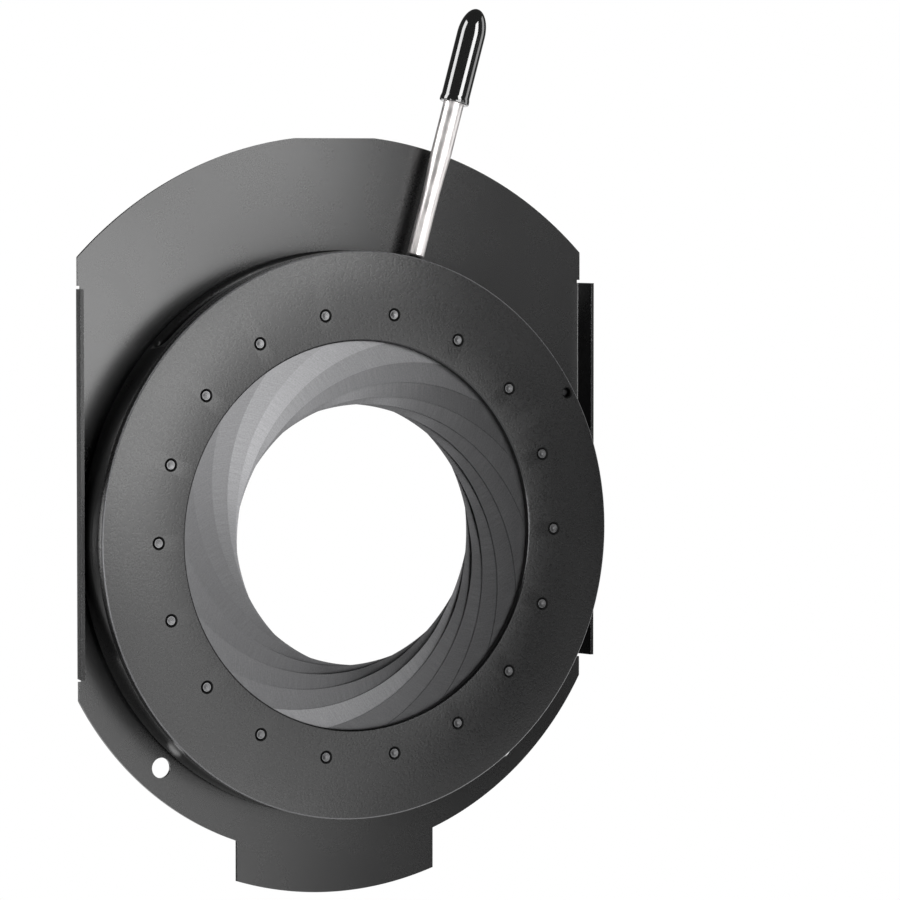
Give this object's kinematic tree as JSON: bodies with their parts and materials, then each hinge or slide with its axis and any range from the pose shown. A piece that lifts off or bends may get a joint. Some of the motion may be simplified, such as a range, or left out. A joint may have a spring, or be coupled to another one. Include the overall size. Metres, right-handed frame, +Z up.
{
  "type": "iris diaphragm",
  "caption": "Drop-in iris diaphragm: crescent blades in a round body on a bent sheet-metal carrier plate, opened and closed by a capped radial lever.",
  "frame": {"origin": "on the optical axis, in the rear face of the carrier plate", "axes": "-Y along the optical axis out of the front cover, +Z up towards the plate's top edge, +X to the right as seen from the front"},
  "size_m": [0.1166, 0.0114, 0.1786],
  "materials": {
    "black_paint": "satin black paint on steel sheet",
    "black_anodised": "matte black anodised, lightly grained",
    "blade_steel": "blackened, satin",
    "pin_steel": "turned, bright",
    "black_steel": "black oxide",
    "bright_steel": "polished, nickel plated",
    "black_vinyl": "glossy dipped vinyl"
  },
  "bodies": {
    "carrier": {"carrier_plate": "black_paint", "housing": "black_anodised", "front_cover": "black_anodised", "clamp_screw_1": "black_steel", "clamp_screw_2": "black_steel", "clamp_screw_3": "black_steel"},
    "actuator": {"actuator_ring": "black_anodised", "lever_stud": "black_steel", "lever_rod": "bright_steel", "lever_cap": "black_vinyl"},
    "blade_01": {"blade_01": "blade_steel", "pivot_pin_01": "pin_steel"},
    "blade_02": {"blade_02": "blade_steel", "pivot_pin_02": "pin_steel"},
    "blade_03": {"blade_03": "blade_steel", "pivot_pin_03": "pin_steel"},
    "blade_04": {"blade_04": "blade_steel", "pivot_pin_04": "pin_steel"},
    "blade_05": {"blade_05": "blade_steel", "pivot_pin_05": "pin_steel"},
    "blade_06": {"blade_06": "blade_steel", "pivot_pin_06": "pin_steel"},
    "blade_07": {"blade_07": "blade_steel", "pivot_pin_07": "pin_steel"},
    "blade_08": {"blade_08": "blade_steel", "pivot_pin_08": "pin_steel"},
    "blade_09": {"blade_09": "blade_steel", "pivot_pin_09": "pin_steel"},
    "blade_10": {"blade_10": "blade_steel", "pivot_pin_10": "pin_steel"},
    "blade_11": {"blade_11": "blade_steel", "pivot_pin_11": "pin_steel"},
    "blade_12": {"blade_12": "blade_steel", "pivot_pin_12": "pin_steel"},
    "blade_13": {"blade_13": "blade_steel", "pivot_pin_13": "pin_steel"},
    "blade_14": {"blade_14": "blade_steel", "pivot_pin_14": "pin_steel"},
    "blade_15": {"blade_15": "blade_steel", "pivot_pin_15": "pin_steel"},
    "blade_16": {"blade_16": "blade_steel", "pivot_pin_16": "pin_steel"},
    "blade_17": {"blade_17": "blade_steel", "pivot_pin_17": "pin_steel"},
    "blade_18": {"blade_18": "blade_steel", "pivot_pin_18": "pin_steel"}
  },
  "joints": [
    {"name": "lever_turn", "type": "hinge", "parent": "carrier", "child": "actuator", "pos_m": [0, 0, 0], "axis": [0, -1, 0], "range_deg": [-30.7, 59.6]},
    {"name": "blade_turn_01", "type": "hinge", "parent": "carrier", "child": "blade_01", "pos_m": [0.0448, 0, 0], "axis": [0, -1, 0], "range_deg": [-15.7, 30.4]},
    {"name": "blade_turn_02", "type": "hinge", "parent": "carrier", "child": "blade_02", "pos_m": [0.0421, 0, 0.01532], "axis": [0, -1, 0], "range_deg": [-15.7, 30.4]},
    {"name": "blade_turn_03", "type": "hinge", "parent": "carrier", "child": "blade_03", "pos_m": [0.03432, 0, 0.0288], "axis": [0, -1, 0], "range_deg": [-15.7, 30.4]},
    {"name": "blade_turn_04", "type": "hinge", "parent": "carrier", "child": "blade_04", "pos_m": [0.0224, 0, 0.0388], "axis": [0, -1, 0], "range_deg": [-15.7, 30.4]},
    {"name": "blade_turn_05", "type": "hinge", "parent": "carrier", "child": "blade_05", "pos_m": [0.00778, 0, 0.04412], "axis": [0, -1, 0], "range_deg": [-15.7, 30.4]},
    {"name": "blade_turn_06", "type": "hinge", "parent": "carrier", "child": "blade_06", "pos_m": [-0.00778, 0, 0.04412], "axis": [0, -1, 0], "range_deg": [-15.7, 30.4]},
    {"name": "blade_turn_07", "type": "hinge", "parent": "carrier", "child": "blade_07", "pos_m": [-0.0224, 0, 0.0388], "axis": [0, -1, 0], "range_deg": [-15.7, 30.4]},
    {"name": "blade_turn_08", "type": "hinge", "parent": "carrier", "child": "blade_08", "pos_m": [-0.03432, 0, 0.0288], "axis": [0, -1, 0], "range_deg": [-15.7, 30.4]},
    {"name": "blade_turn_09", "type": "hinge", "parent": "carrier", "child": "blade_09", "pos_m": [-0.0421, 0, 0.01532], "axis": [0, -1, 0], "range_deg": [-15.7, 30.4]},
    {"name": "blade_turn_10", "type": "hinge", "parent": "carrier", "child": "blade_10", "pos_m": [-0.0448, 0, 0], "axis": [0, -1, 0], "range_deg": [-15.7, 30.4]},
    {"name": "blade_turn_11", "type": "hinge", "parent": "carrier", "child": "blade_11", "pos_m": [-0.0421, 0, -0.01532], "axis": [0, -1, 0], "range_deg": [-15.7, 30.4]},
    {"name": "blade_turn_12", "type": "hinge", "parent": "carrier", "child": "blade_12", "pos_m": [-0.03432, 0, -0.0288], "axis": [0, -1, 0], "range_deg": [-15.7, 30.4]},
    {"name": "blade_turn_13", "type": "hinge", "parent": "carrier", "child": "blade_13", "pos_m": [-0.0224, 0, -0.0388], "axis": [0, -1, 0], "range_deg": [-15.7, 30.4]},
    {"name": "blade_turn_14", "type": "hinge", "parent": "carrier", "child": "blade_14", "pos_m": [-0.00778, 0, -0.04412], "axis": [0, -1, 0], "range_deg": [-15.7, 30.4]},
    {"name": "blade_turn_15", "type": "hinge", "parent": "carrier", "child": "blade_15", "pos_m": [0.00778, 0, -0.04412], "axis": [0, -1, 0], "range_deg": [-15.7, 30.4]},
    {"name": "blade_turn_16", "type": "hinge", "parent": "carrier", "child": "blade_16", "pos_m": [0.0224, 0, -0.0388], "axis": [0, -1, 0], "range_deg": [-15.7, 30.4]},
    {"name": "blade_turn_17", "type": "hinge", "parent": "carrier", "child": "blade_17", "pos_m": [0.03432, 0, -0.0288], "axis": [0, -1, 0], "range_deg": [-15.7, 30.4]},
    {"name": "blade_turn_18", "type": "hinge", "parent": "carrier", "child": "blade_18", "pos_m": [0.0421, 0, -0.01532], "axis": [0, -1, 0], "range_deg": [-15.7, 30.4]}
  ],
  "couplings": [
    {"joint": "blade_turn_01", "follows": "lever_turn", "ratio": 0.51},
    {"joint": "blade_turn_02", "follows": "lever_turn", "ratio": 0.51},
    {"joint": "blade_turn_03", "follows": "lever_turn", "ratio": 0.51},
    {"joint": "blade_turn_04", "follows": "lever_turn", "ratio": 0.51},
    {"joint": "blade_turn_05", "follows": "lever_turn", "ratio": 0.51},
    {"joint": "blade_turn_06", "follows": "lever_turn", "ratio": 0.51},
    {"joint": "blade_turn_07", "follows": "lever_turn", "ratio": 0.51},
    {"joint": "blade_turn_08", "follows": "lever_turn", "ratio": 0.51},
    {"joint": "blade_turn_09", "follows": "lever_turn", "ratio": 0.51},
    {"joint": "blade_turn_10", "follows": "lever_turn", "ratio": 0.51},
    {"joint": "blade_turn_11", "follows": "lever_turn", "ratio": 0.51},
    {"joint": "blade_turn_12", "follows": "lever_turn", "ratio": 0.51},
    {"joint": "blade_turn_13", "follows": "lever_turn", "ratio": 0.51},
    {"joint": "blade_turn_14", "follows": "lever_turn", "ratio": 0.51},
    {"joint": "blade_turn_15", "follows": "lever_turn", "ratio": 0.51},
    {"joint": "blade_turn_16", "follows": "lever_turn", "ratio": 0.51},
    {"joint": "blade_turn_17", "follows": "lever_turn", "ratio": 0.51},
    {"joint": "blade_turn_18", "follows": "lever_turn", "ratio": 0.51}
  ]
}
